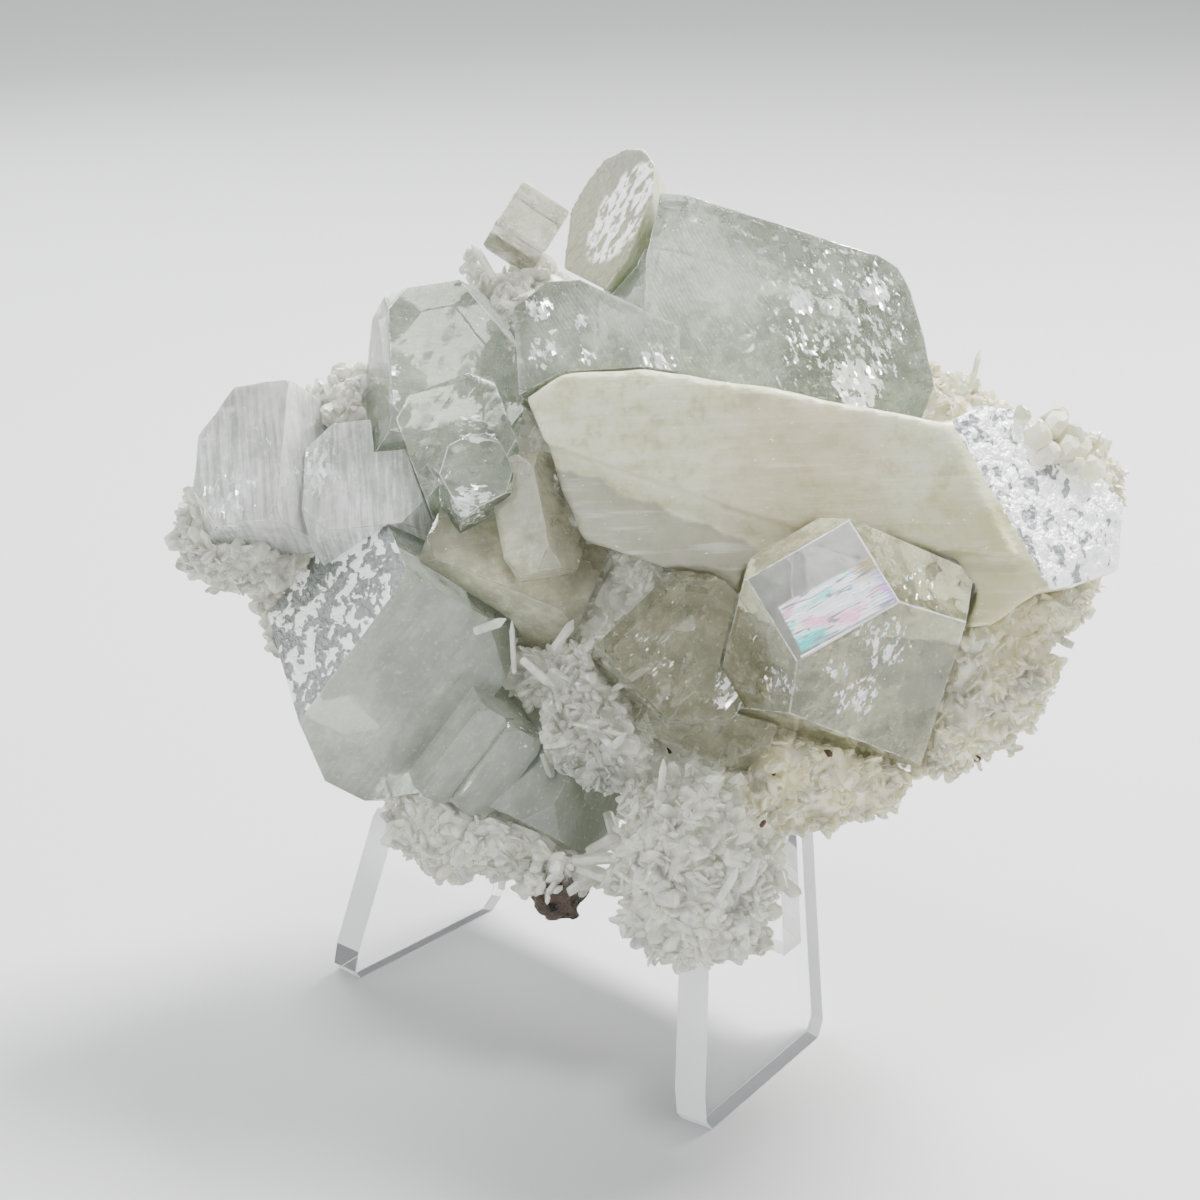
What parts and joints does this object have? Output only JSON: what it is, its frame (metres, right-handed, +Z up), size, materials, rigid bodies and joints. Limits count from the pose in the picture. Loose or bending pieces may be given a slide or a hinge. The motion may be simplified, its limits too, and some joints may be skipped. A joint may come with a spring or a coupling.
{
  "type": "apophyllite cluster on easel",
  "caption": "Mineral specimen: clear apophyllite crystals with cream stilbite on drusy quartz and basalt, resting in the notches of a bent clear acrylic easel.",
  "frame": {"origin": "centre of the bounding box at the table, under the easel", "axes": "+X to the right along the specimen, +Y away from the viewer, +Z up"},
  "size_m": [0.0902, 0.0524, 0.0846],
  "materials": {
    "acrylic": "polished faces, satin sawn edges",
    "apophyllite_clear": "polished",
    "apophyllite_milky": "pearly",
    "stilbite": "pearly",
    "quartz_druse": "sparkling",
    "basalt": "rough"
  },
  "bodies": {
    "root": {"acrylic_easel": "acrylic", "apophyllite_front_gem": "apophyllite_clear", "apophyllite_front_small": "apophyllite_clear", "apophyllite_lower_left": "apophyllite_milky", "apophyllite_upper_left": "apophyllite_clear", "apophyllite_far_left": "apophyllite_milky", "apophyllite_centre": "apophyllite_clear", "apophyllite_small_cube": "apophyllite_milky", "stilbite_blade": "stilbite", "stilbite_sheaf": "stilbite", "apophyllite_top_block": "apophyllite_clear", "quartz_druse": "quartz_druse", "basalt_matrix": "basalt"}
  },
  "joints": []
}
